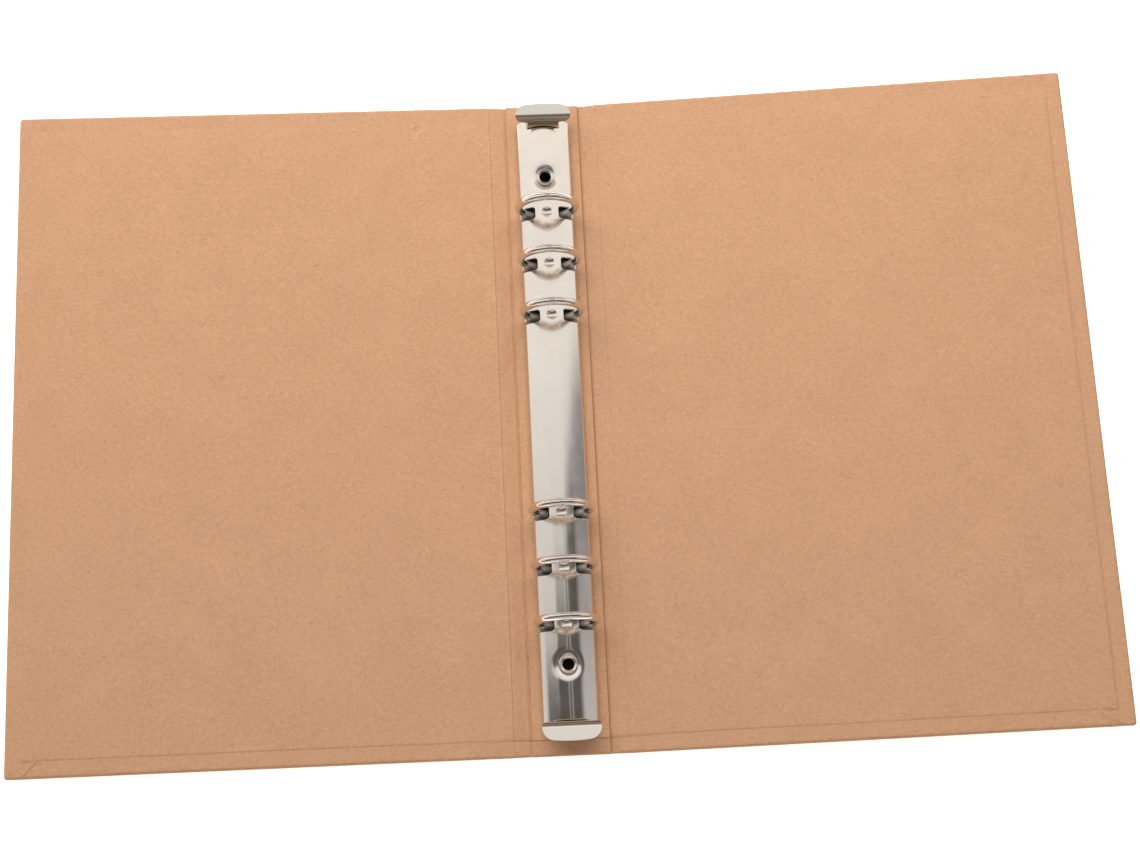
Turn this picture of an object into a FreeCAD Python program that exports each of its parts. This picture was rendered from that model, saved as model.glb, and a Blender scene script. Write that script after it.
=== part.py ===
import FreeCAD
import Part
import Sketcher
import math
import os
import re

# An open A5 six-ring binder: a kraft-board case with a lever-operated ring mechanism riveted to its
# spine. X runs across the open covers, Y along the spine towards the head and Z up. The origin is the
# middle of the back of the spine. Lengths are in millimetres and angles in degrees.

SIZES = {
    # Case: boards, the paper round them and the liner inside.
    "cover_height": 232.0,
    "cover_width": 165.3,
    "spine_width": 25.4,
    "joint_gap": 7.0,
    "board_thick": 1.8,
    "wrap_thick": 0.3,
    "liner_thick": 0.3,
    "turn_in": 15.0,
    "liner_margin": 5.4,
    "corner_radius": 1.2,
    "joint_clear": 0.4,
    "crease_width": 0.5,
    "crease_depth": 1.1,
    "left_lift": 0.94,
    "right_lift": 5.4,
    # Ring plate: an arched sheet with its long edges folded under.
    "plate_length": 216.0,
    "plate_width": 18.9,
    "plate_thick": 0.7,
    "plate_crown": 6.0,
    "crown_radius": 13.0,
    "shoulder_radius": 2.0,
    "rim_radius": 0.9,
    "lip_width": 2.6,
    "notch_width": 11.6,
    "notch_depth": 3.0,
    "lobe_radius": 1.4,
    "dimple_radius": 1.95,
    "dimple_depth": 0.9,
    "slot_side_gap": 0.8,
    "slot_end_gap": 0.22,
    "slot_corner": 1.0,
    "slot_floor": 1.6,
    "rim_round": 0.3,
    # Rings: two wire halves each, in two groups of three.
    "ring_pitch": 19.0,
    "ring_middle_gap": 70.0,
    "ring_radius": 10.0,
    "wire_diameter": 2.7,
    "foot_height": 1.84,
    "foot_turn": 60.0,
    "tip_lap": 0.9,
    "tip_gap": 0.16,
    "stake_diameter": 1.6,
    "stake_inset": 1.0,
    # Carriers: the two steel strips under the plate that hold the half rings.
    "carrier_thick": 0.8,
    "carrier_inset": 10.0,
    "carrier_pivot": 8.15,
    "carrier_height": 1.3,
    "carrier_droop": 4.5,
    "seam_gap": 0.5,
    "finger_width": 1.15,
    "finger_length": 4.0,
    "finger_rise": 1.0,
    "finger_step": 0.9,
    "stake_fit": 0.03,
    # Levers, their pins and the ears that hold the pins.
    "lever_inset": 3.4,
    "lever_height": 1.6,
    "lever_thick": 1.0,
    "lever_bend": 0.9,
    "lever_lean": 82.0,
    "tab_slope": 8.0,
    "crest_reach": 3.1,
    "crest_rise": 7.3,
    "tab_width": 19.4,
    "tab_reach": 7.6,
    "tab_corner": 4.0,
    "tab_end_width": 12.4,
    "tab_end_bow": 0.35,
    "heel_rise": 7.1,
    "heel_width": 3.8,
    "heel_height": 2.0,
    "heel_round": 4.6,
    "neck_width": 10.8,
    "neck_flare": 0.4,
    "knuckle_diameter": 2.7,
    "tongue_reach": 5.4,
    "tongue_width": 2.2,
    "tongue_thick": 0.8,
    "tongue_drop": 0.9,
    "pin_diameter": 1.5,
    "pin_play": 0.06,
    "pin_fit": 0.02,
    "ear_thick": 0.7,
    "ear_gap": 0.3,
    "ear_diameter": 2.8,
    # Rivets: hollow, with closed heads let into the back of the spine.
    "rivet_span": 173.0,
    "rivet_shank": 5.2,
    "rivet_bore": 4.1,
    "rivet_flare": 6.3,
    "flare_height": 0.7,
    "head_diameter": 9.0,
    "head_thick": 0.8,
    "head_dome": 0.3,
    "head_recess": 0.05,
    "rivet_clear": 0.05,
    "rivet_notch": 0.8,
    "well_depth": 1.64,
    "well_floor": 3.5,
    "well_slope": 1.8,
    "well_round": 4.0,
    # How far a cutting shape runs past the piece that it cuts.
    "overrun": 1.0,
}

# Places and sizes that follow from the ones above. Cover pieces are drawn from their hinge line,
# mechanism pieces from the inner face of the spine, levers from their pins.
DERIVED = {
    "deck": "wrap_thick + board_thick + liner_thick",
    "half_height": "cover_height / 2",
    "spine_half": "spine_width / 2",
    "hinge_x": "spine_half + joint_gap / 2",
    "hinge_z": "joint_gap * (2 / pi - 0.5)",
    "cover_near": "joint_gap / 2",
    "cover_far": "cover_near + cover_width",
    "board_low": "wrap_thick - hinge_z",
    "board_top": "board_low + board_thick",
    "board_far": "cover_far - wrap_thick",
    "board_half": "half_height - wrap_thick",
    "board_corner": "corner_radius - wrap_thick",
    "window_far": "board_far - turn_in",
    "window_half": "board_half - turn_in",
    "liner_half": "half_height - liner_margin",
    "joint_end": "spine_half + joint_gap - joint_clear",
    "plate_half": "plate_width / 2",
    "plate_end": "plate_length / 2",
    "notch_half": "notch_width / 2",
    "arch_centre": "plate_crown - crown_radius",
    "shoulder_x": "plate_half - shoulder_radius",
    "shoulder_reach": "crown_radius - shoulder_radius",
    "shoulder_z": "arch_centre + sqrt(shoulder_reach ^ 2 - shoulder_x ^ 2)",
    "dimple_ball": "(dimple_radius ^ 2 + dimple_depth ^ 2) / (2 * dimple_depth)",
    "well_wall": "plate_thick * sqrt(1 + well_slope ^ 2)",
    "well_bottom": "plate_crown - well_depth",
    "wire_radius": "wire_diameter / 2",
    "ring_height": "foot_height + ring_radius * sin(foot_turn)",
    "foot_x": "ring_radius * cos(foot_turn)",
    "stake_x": "foot_x + stake_inset",
    "slot_half": "wire_radius + slot_side_gap",
    "slot_inner": "(ring_radius - wire_radius) * cos(foot_turn) - slot_end_gap",
    "carrier_half": "carrier_thick / 2",
    "carrier_reach": "carrier_pivot - seam_gap / 2",
    "carrier_end": "plate_end - carrier_inset",
    "lever_y": "plate_end - lever_inset",
    "knuckle_radius": "knuckle_diameter / 2",
    "neck_half": "neck_width / 2",
    "tab_half": "tab_width / 2",
    "tab_end_half": "tab_end_width / 2",
    "bend_outer": "lever_bend + lever_thick",
    "ear_inner": "neck_half + ear_gap",
    "ear_middle": "ear_inner + ear_thick / 2",
    "ear_top": "arch_centre + sqrt((crown_radius - plate_thick / 2) ^ 2 - ear_middle ^ 2)",
    "ear_radius": "ear_diameter / 2",
    "pin_radius": "pin_diameter / 2",
    "rivet_y": "rivet_span / 2",
    "shank_radius": "rivet_shank / 2",
    "head_radius": "head_diameter / 2",
    "flare_top": "deck + well_bottom + flare_height",
}

# Lengths that differ by less than this count as equal where faces are told apart.
NEAR = 1e-6

doc = FreeCAD.newDocument("RingBinder")
sheet = doc.addObject("Spreadsheet::Sheet", "Sizes")
for row, (alias, size) in enumerate(SIZES.items(), start=1):
    sheet.set(f"A{row}", alias)
    sheet.set(f"B{row}", str(size))
    sheet.setAlias(f"B{row}", alias)
doc.recompute()


def spell(text):
    """Writes a formula out in terms of the sheet's cells."""
    def swap(match):
        word = match.group(0)
        if word in DERIVED:
            return "(" + spell(DERIVED[word]) + ")"
        return "Sizes." + word if word in SIZES else word
    return re.sub(r"[A-Za-z_]\w*", swap, text)


def number(text):
    return float(sheet.evalExpression(spell(text)))


def bind(target, prop, text):
    target.setExpression(prop, spell(text))


def placement(x, y, z, yaw="0", pitch="0", roll="0"):
    point = f"create(<<vector>>; {x}; {y}; {z})"
    turn = f"create(<<rotation>>; {yaw}; {pitch}; {roll})"
    return f"create(<<placement>>; {point}; {turn})"


def place(target, x, y, z, yaw="0", pitch="0", roll="0"):
    """Turns an object by yaw, pitch and roll and sets it down at a point."""
    bind(target, "Placement", placement(x, y, z, yaw, pitch, roll))


def new_body(label):
    body = doc.addObject("PartDesign::Body", label)
    body.Label = label
    return body


def attach(feature, body, role, offset=("0", "0", "0")):
    """Seats a sketch or primitive on one of its body's origin planes, shifted in the plane's own axes."""
    plane = next(item for item in body.Origin.OriginFeatures if item.Role == role)
    feature.AttachmentSupport = (plane, [""])
    feature.MapMode = "FlatFace"
    for axis, text in zip("xyz", offset):
        if text != "0":
            bind(feature, "AttachmentOffset.Base." + axis, text)


def new_sketch(body, name, role, lift="0"):
    sketch = body.newObject("Sketcher::SketchObject", body.Label + "_" + name)
    attach(sketch, body, role, ("0", "0", lift))
    return sketch


def constrain(sketch, kind, geometry, text):
    constraint = sketch.addConstraint(Sketcher.Constraint(kind, *geometry, number(text)))
    sketch.setExpression(f"Constraints[{constraint}]", spell(text))


def fix_point(sketch, geometry, end, x, y):
    constrain(sketch, "DistanceX", (-1, 1, geometry, end), x)
    constrain(sketch, "DistanceY", (-1, 1, geometry, end), y)


def arc_between(start, finish, radius, turn):
    """The shorter arc from start to finish, turning left or right, as Sketcher's leftward arc."""
    chord = finish - start
    middle = (start + finish) * 0.5
    aside = FreeCAD.Vector(-chord.y, chord.x, 0).normalize()
    sag = radius - math.sqrt(max(radius ** 2 - (chord.Length / 2) ** 2, 0.0))
    if turn == "left":
        return Part.Arc(start, middle - aside * sag, finish), (1, 2)
    return Part.Arc(finish, middle + aside * sag, start), (2, 1)


def draw_outline(sketch, points):
    """Draws a closed outline. A point (x, y, radius, turn) starts an arc, a point (x, y) a line."""
    corners = [FreeCAD.Vector(number(point[0]), number(point[1]), 0) for point in points]
    edges = []
    for index, point in enumerate(points):
        start = corners[index]
        finish = corners[(index + 1) % len(points)]
        if len(point) == 2:
            curve, ends = Part.LineSegment(start, finish), (1, 2)
        else:
            curve, ends = arc_between(start, finish, number(point[2]), point[3])
        edges.append((sketch.addGeometry(curve), ends))
    for index, point in enumerate(points):
        before, before_ends = edges[index - 1]
        edge, ends = edges[index]
        sketch.addConstraint(Sketcher.Constraint("Coincident", before, before_ends[1], edge, ends[0]))
        fix_point(sketch, edge, ends[0], point[0], point[1])
        if len(point) > 2:
            constrain(sketch, "Radius", (edge,), point[2])


def draw_rectangle(sketch, left, low, right, high):
    draw_outline(sketch, [(left, low), (right, low), (right, high), (left, high)])


def draw_circle(sketch, x, y, radius):
    centre = FreeCAD.Vector(number(x), number(y), 0)
    circle = sketch.addGeometry(Part.Circle(centre, FreeCAD.Vector(0, 0, 1), number(radius)))
    fix_point(sketch, circle, 3, x, y)
    constrain(sketch, "Radius", (circle,), radius)


def pad(body, sketch, length, symmetric=False):
    feature = body.newObject("PartDesign::Pad", sketch.Name + "_pad")
    feature.Profile = sketch
    feature.SideType = "Symmetric" if symmetric else "One side"
    bind(feature, "Length", length)
    return feature


def pocket(body, sketch, depth="", symmetric=False, upwards=False):
    """Cuts a sketch out of its body, right through where no depth is given."""
    feature = body.newObject("PartDesign::Pocket", sketch.Name + "_cut")
    feature.Profile = sketch
    feature.Reversed = upwards
    if depth:
        feature.SideType = "Symmetric" if symmetric else "One side"
        bind(feature, "Length", depth)
    else:
        feature.Type = "ThroughAll"
        feature.SideType = "Symmetric"
    return feature


# Each side's pieces are one design: the left ones are the right ones turned end for end.
SIDES = {"left": ("-1", "180"), "right": ("1", "0")}


def hang_cover(body, side):
    """Turns a cover piece up about its hinge line, as far as the open cover lifts."""
    sign, yaw = SIDES[side]
    place(body, f"{sign} * hinge_x", "0", "hinge_z", yaw, f"-{side}_lift")


def panel(near, far, half, corner):
    """A cover outline with its two outer corners rounded."""
    return [
        (near, f"-({half})"),
        (f"{far} - {corner}", f"-({half})", corner, "left"),
        (far, f"{corner} - {half}"),
        (far, f"{half} - {corner}", corner, "left"),
        (f"{far} - {corner}", half),
        (near, half),
    ]


def cover_board(side):
    """Grey board, thinned along its three free edges where the paper turns in."""
    body = new_body(f"{side}_board")
    whole = new_sketch(body, "whole", "XY_Plane", "board_low")
    draw_outline(whole, panel("cover_near", "board_far", "board_half", "board_corner"))
    pad(body, whole, "board_thick - wrap_thick")
    middle = new_sketch(body, "middle", "XY_Plane", "board_top - wrap_thick")
    draw_rectangle(middle, "cover_near", "-window_half", "window_far", "window_half")
    pad(body, middle, "wrap_thick")
    hang_cover(body, side)


def cover_paper(side):
    """Kraft paper round the outside of a board and over its three free edges."""
    body = new_body(f"{side}_cover_paper")
    shell = new_sketch(body, "shell", "XY_Plane", "-hinge_z")
    draw_outline(shell, panel("cover_near", "cover_far", "half_height", "corner_radius"))
    pad(body, shell, "wrap_thick + board_thick")
    window = new_sketch(body, "window", "XY_Plane", "board_top")
    draw_rectangle(window, "cover_near - overrun", "-window_half", "window_far", "window_half")
    pocket(body, window, "board_thick")
    slot = new_sketch(body, "slot", "XY_Plane", "board_top - wrap_thick")
    draw_outline(slot, panel("cover_near - overrun", "board_far", "board_half", "board_corner"))
    pocket(body, slot, "board_thick - wrap_thick")
    hang_cover(body, side)


def cover_liner(side):
    """The sheet pasted over the board and the turned-in edges inside a cover."""
    body = new_body(f"{side}_liner")
    whole = new_sketch(body, "whole", "XY_Plane", "board_top")
    draw_rectangle(whole, "cover_near", "-liner_half", "cover_far - liner_margin", "liner_half")
    pad(body, whole, "liner_thick")
    hang_cover(body, side)


def mirrored_profile(points):
    """Closes a profile that is drawn for positive X by repeating it on the other side."""
    return points + [(f"-({x})", z) for x, z in reversed(points)]


def rivet_holes(body, name, radius):
    holes = new_sketch(body, name, "XY_Plane")
    for sign in ("-", ""):
        draw_circle(holes, "0", sign + "rivet_y", radius)
    return holes


def spine_pieces():
    """Spine board, its paper folded in at head and tail, and its liner, all pierced for the rivets."""
    paper = new_body("spine_paper")
    section = new_sketch(paper, "section", "YZ_Plane")
    board_z = "wrap_thick + board_thick"
    draw_outline(section, mirrored_profile([
        ("half_height", "0"),
        ("half_height", board_z),
        ("window_half", board_z),
        ("window_half", f"{board_z} - wrap_thick"),
        ("board_half", f"{board_z} - wrap_thick"),
        ("board_half", "wrap_thick"),
    ]))
    pad(paper, section, "spine_width", symmetric=True)
    pocket(paper, rivet_holes(paper, "head_holes", "head_radius + rivet_clear"))

    board = new_body("spine_board")
    section = new_sketch(board, "section", "YZ_Plane")
    draw_outline(section, mirrored_profile([
        ("board_half", "wrap_thick"),
        ("board_half", f"{board_z} - wrap_thick"),
        ("window_half", f"{board_z} - wrap_thick"),
        ("window_half", board_z),
    ]))
    pad(board, section, "spine_width", symmetric=True)
    pocket(board, rivet_holes(board, "shank_holes", "shank_radius + rivet_clear"))
    seats = rivet_holes(board, "head_seats", "head_radius + rivet_clear")
    pocket(board, seats, "head_recess + head_dome + head_thick", upwards=True)

    liner = new_body("spine_liner")
    whole = new_sketch(liner, "whole", "XY_Plane", board_z)
    draw_rectangle(whole, "-spine_half", "-liner_half", "spine_half", "liner_half")
    pad(liner, whole, "liner_thick")
    pocket(liner, rivet_holes(liner, "shank_holes", "shank_radius + rivet_clear"))


def joint_pieces(side):
    """The groove beside the spine: outer paper lying flat, and the liner creased along the spine."""
    yaw = SIDES[side][1]
    paper = new_body(f"{side}_joint_paper")
    section = new_sketch(paper, "section", "XZ_Plane")
    draw_rectangle(section, "spine_half", "0", "joint_end", "wrap_thick")
    pad(paper, section, "cover_height", symmetric=True)
    place(paper, "0", "0", "0", yaw)

    liner = new_body(f"{side}_joint_liner")
    section = new_sketch(liner, "section", "XZ_Plane")
    draw_outline(section, [
        ("spine_half", "deck - liner_thick"),
        ("spine_half + crease_width", "deck - liner_thick - crease_depth"),
        ("joint_end", "deck - liner_thick"),
        ("joint_end", "deck"),
        ("spine_half + crease_width", "deck - crease_depth"),
        ("spine_half", "deck"),
    ])
    pad(liner, section, "2 * liner_half", symmetric=True)
    place(liner, "0", "0", "0", yaw)


RING_STATIONS = [
    f"{sign} (ring_middle_gap / 2 + {step} * ring_pitch)"
    for sign, steps in (("-", (2, 1, 0)), ("", (0, 1, 2)))
    for step in steps
]


def revolved_primitive(body, kind, name, y, z, **sizes):
    """Takes a cone or ball on an upright axis at (0, y) away, with its base or centre at z."""
    feature = body.newObject("PartDesign::" + kind, name)
    attach(feature, body, "XY_Plane", ("0", y, z))
    for prop, text in sizes.items():
        bind(feature, prop, text)
    return feature


def round_edges(body, name, radius, chosen):
    """Rounds those edges of a body that a test picks by their place and by the faces that meet there."""
    doc.recompute()
    base = body.Tip
    names = [
        f"Edge{count}"
        for count, edge in enumerate(base.Shape.Edges, start=1)
        if chosen(edge, base.Shape.ancestorsOfType(edge, Part.Face))
    ]
    fillet = body.newObject("PartDesign::Fillet", name)
    fillet.Base = (base, names)
    bind(fillet, "Radius", radius)


def is_skin(face, *radii):
    """Whether a face is one of the plate's long rounds, of one of the radii."""
    surface = face.Surface
    if not isinstance(surface, Part.Cylinder) or abs(surface.Axis.z) > NEAR:
        return False
    return any(abs(surface.Radius - number(radius)) < NEAR for radius in radii)


def plate_form(name, inset, length):
    """A solid with the plate's outer skin, or its inner skin where it is inset by the sheet."""
    body = new_body(name)
    section = new_sketch(body, "section", "XZ_Plane")
    crown = f"(crown_radius - {inset})"
    tangent_x = f"{crown} * shoulder_x / shoulder_reach"
    tangent_z = f"arch_centre + {crown} * (shoulder_z - arch_centre) / shoulder_reach"
    rim_x = "plate_half - rim_radius"
    wall_x = f"plate_half - {inset}"
    rim = f"rim_radius - {inset}"
    shoulder = f"shoulder_radius - {inset}"
    draw_outline(section, [
        (f"-({rim_x})", inset),
        (rim_x, inset, rim, "left"),
        (wall_x, "rim_radius"),
        (wall_x, "shoulder_z", shoulder, "left"),
        (tangent_x, tangent_z, crown, "left"),
        (f"-({tangent_x})", tangent_z, shoulder, "left"),
        (f"-({wall_x})", "shoulder_z"),
        (f"-({wall_x})", "rim_radius", rim, "left"),
    ])
    pad(body, section, length, symmetric=True)

    for count, station in enumerate(RING_STATIONS, start=1):
        revolved_primitive(
            body, "SubtractiveSphere", f"{name}_dimple_{count}", station,
            "plate_crown + dimple_ball - dimple_depth", Radius=f"dimple_ball + {inset}")
    share = f"{inset} / plate_thick"
    floor_radius = f"well_floor + ({share}) * well_wall - ({inset}) * well_slope"
    well_height = f"well_depth + ({inset}) + overrun"
    for count, sign in enumerate(("-", ""), start=1):
        revolved_primitive(
            body, "SubtractiveCone", f"{name}_well_{count}", sign + "rivet_y", f"well_bottom - {inset}",
            Radius1=floor_radius, Radius2=f"{floor_radius} + well_slope * ({well_height})",
            Height=well_height)

    def well_rim(edge, faces):
        sloped = any(isinstance(face.Surface, Part.Cone) for face in faces)
        return sloped and any(is_skin(face, crown) for face in faces)

    round_edges(body, name + "_well_rims", f"well_round - {inset}", well_rim)
    return body


def slot_outline(station, sign):
    """A ring opening, rounded at its inner end and open at the edge of the plate."""
    def point(x, y, *arc):
        return (f"{sign} ({x})", f"{station} + {sign} ({y})", *arc)
    return [
        point("slot_inner", "slot_corner - slot_half", "slot_corner", "left"),
        point("slot_inner + slot_corner", "-slot_half"),
        point("plate_half + overrun", "-slot_half"),
        point("plate_half + overrun", "slot_half"),
        point("slot_inner + slot_corner", "slot_half", "slot_corner", "left"),
        point("slot_inner", "slot_half - slot_corner"),
    ]


def end_outline(sign):
    """What is trimmed off one end of the plate: the lever notch and the outsides of the two lobes."""
    def point(x, y, *arc):
        return (f"{sign} ({x})", f"{sign} ({y})", *arc)
    lobe_y = "plate_end - lobe_radius"
    outside = "plate_half + overrun"
    return [
        point(outside, "plate_end + overrun"),
        point(f"-({outside})", "plate_end + overrun"),
        point(f"-({outside})", lobe_y),
        point("-plate_half", lobe_y, "lobe_radius", "right"),
        point("lobe_radius - plate_half", "plate_end"),
        point("-notch_half - lobe_radius", "plate_end", "lobe_radius", "right"),
        point("-notch_half", lobe_y),
        point("-notch_half", "plate_end - notch_depth"),
        point("notch_half", "plate_end - notch_depth"),
        point("notch_half", lobe_y, "lobe_radius", "right"),
        point("notch_half + lobe_radius", "plate_end"),
        point("plate_half - lobe_radius", "plate_end", "lobe_radius", "right"),
        point("plate_half", lobe_y),
        point(outside, lobe_y),
    ]


def ring_plate():
    """The arched plate: pressed from sheet, pierced for the rings, with ears for the lever pins."""
    sheet_form = doc.addObject("Part::Cut", "plate_sheet")
    sheet_form.Base = plate_form("plate_outside", "0", "plate_length")
    sheet_form.Tool = plate_form("plate_inside", "plate_thick", "plate_length + 2 * overrun")
    doc.recompute()
    body = new_body("ring_plate")
    body.BaseFeature = sheet_form

    seam = new_sketch(body, "seam", "XY_Plane", "plate_thick")
    lip_inner = "plate_half - lip_width"
    seam_end = "plate_end + overrun"
    draw_rectangle(seam, f"-({lip_inner})", f"-({seam_end})", lip_inner, seam_end)
    pocket(body, seam, "plate_thick + overrun")
    for count, station in enumerate(RING_STATIONS, start=1):
        slots = new_sketch(body, f"slots_{count}", "XY_Plane", "slot_floor")
        for sign in ("1 *", "-1 *"):
            draw_outline(slots, slot_outline(station, sign))
        pocket(body, slots, "plate_crown", upwards=True)
    pocket(body, rivet_holes(body, "rivet_holes", "shank_radius + rivet_clear"))
    ends = new_sketch(body, "ends", "XY_Plane")
    for sign in ("1 *", "-1 *"):
        draw_outline(ends, end_outline(sign))
    pocket(body, ends)
    notch_floor = number("plate_end - notch_depth")

    def pierced_rim(edge, faces):
        if abs(edge.CenterOfMass.y) > notch_floor + NEAR:
            return False
        upright = any(
            abs(face.normalAt(*face.Surface.parameter(face.CenterOfMass)).z) < NEAR for face in faces)
        return upright and any(is_skin(face, "crown_radius", "shoulder_radius") for face in faces)

    round_edges(body, "ring_plate_rims", "rim_round", pierced_rim)

    for side, ear_x in (("left", "-ear_inner - ear_thick"), ("right", "ear_inner")):
        for row, end in (("tail", "-1 *"), ("head", "1 *")):
            ear = new_sketch(body, f"{row}_{side}_ear", "YZ_Plane", ear_x)
            low = "lever_height - ear_radius"
            draw_outline(ear, [
                (f"{end} lever_y - ear_radius", "ear_top"),
                (f"{end} lever_y - ear_radius", "lever_height", "ear_radius", "left"),
                (f"{end} lever_y", low, "ear_radius", "left"),
                (f"{end} lever_y + ear_radius", "lever_height"),
                (f"{end} lever_y + ear_radius", "ear_top"),
            ])
            pad(body, ear, "ear_thick")
    pin_holes = new_sketch(body, "pin_holes", "YZ_Plane")
    for end in ("-1 *", "1 *"):
        draw_circle(pin_holes, f"{end} lever_y", "lever_height", "pin_radius + pin_fit")
    pocket(body, pin_holes, "2 * (ear_inner + ear_thick) + ear_gap", symmetric=True)
    place(body, "0", "0", "deck")


def carrier(side):
    """A steel strip that rocks on its round outer edge in the plate's rim and carries six half rings."""
    sign, yaw = SIDES[side]
    body = new_body(f"{side}_carrier")
    section = new_sketch(body, "section", "XZ_Plane")
    draw_outline(section, [
        ("-carrier_reach", "-carrier_half"),
        ("0", "-carrier_half", "carrier_half", "left"),
        ("carrier_half", "0", "carrier_half", "left"),
        ("0", "carrier_half"),
        ("-carrier_reach", "carrier_half"),
    ])
    pad(body, section, "2 * carrier_end", symmetric=True)
    for row, end in (("head", "1 *"), ("tail", "-1 *")):
        finger = new_sketch(body, f"{row}_finger", "YZ_Plane", "-carrier_reach")
        joggle = "carrier_end - finger_step"
        draw_outline(finger, [
            (f"{end} ({joggle} - carrier_thick)", "-carrier_half"),
            (f"{end} ({joggle})", "-carrier_half"),
            (f"{end} carrier_end", "finger_rise - carrier_half"),
            (f"{end} (carrier_end + finger_length)", "finger_rise - carrier_half"),
            (f"{end} (carrier_end + finger_length)", "finger_rise + carrier_half"),
            (f"{end} ({joggle})", "finger_rise + carrier_half"),
        ])
        pad(body, finger, "finger_width")
    holes = new_sketch(body, "holes", "XY_Plane")
    for end in ("1 *", "-1 *"):
        draw_circle(holes, "-carrier_pivot", f"{end} rivet_y", "shank_radius + rivet_notch")
    for station in RING_STATIONS:
        draw_circle(holes, "stake_x - carrier_pivot", station, "stake_diameter / 2 + stake_fit")
    pocket(body, holes)
    place(body, f"{sign} * carrier_pivot", "0", "deck + carrier_height", yaw, "-carrier_droop")


def block(name, corner, far_corner, seat=""):
    """A box between two opposite corners, in the frame of a seat where one is given."""
    solid = doc.addObject("Part::Box", name)
    for prop, low, high in zip(("Length", "Width", "Height"), corner, far_corner):
        bind(solid, prop, f"({high}) - ({low})")
    bind(solid, "Placement", seat + placement(*corner))
    return solid


def half_ring(side, count, station):
    """Half a wire ring: a stepped tip, an arc, and a foot that sits on its carrier with a stake."""
    name = f"{side}_ring_{count}"
    wire = doc.addObject("Part::Torus", name + "_wire")
    bind(wire, "Radius1", "ring_radius")
    bind(wire, "Radius2", "wire_radius")
    bind(wire, "Angle3", "foot_turn + 90 + 2 * tip_lap / ring_radius * 180 / pi")
    place(wire, "0", "0", "ring_height", "0", "foot_turn", "90")

    far = "ring_radius + wire_radius"
    near = f"-({far})"
    middle = "ring_height"
    top = f"ring_height + {far}"
    on_carrier = placement("carrier_pivot", "0", "carrier_height", "0", "-carrier_droop") + " * "
    waste = doc.addObject("Part::MultiFuse", name + "_waste")
    waste.Shapes = [
        block(name + "_step", (near, "-tip_gap / 2", middle), ("tip_lap + tip_gap / 2", far, top)),
        block(name + "_end", (near, near, middle), ("tip_gap / 2 - tip_lap", far, top)),
        block(name + "_sole", (near, near, near), (far, far, "carrier_half"), on_carrier),
    ]
    trimmed = doc.addObject("Part::Cut", name + "_trimmed")
    trimmed.Base = wire
    trimmed.Tool = waste

    stake = doc.addObject("Part::Cylinder", name + "_stake")
    bind(stake, "Radius", "stake_diameter / 2")
    bind(stake, "Height", "carrier_thick + wire_radius / 2")
    bind(stake, "Placement", on_carrier + placement("stake_x - carrier_pivot", "0", "-carrier_half"))
    ring = doc.addObject("Part::Fuse", name)
    ring.Label = name
    ring.Base = trimmed
    ring.Tool = stake
    place(ring, "0", station, "deck", SIDES[side][1])


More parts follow.
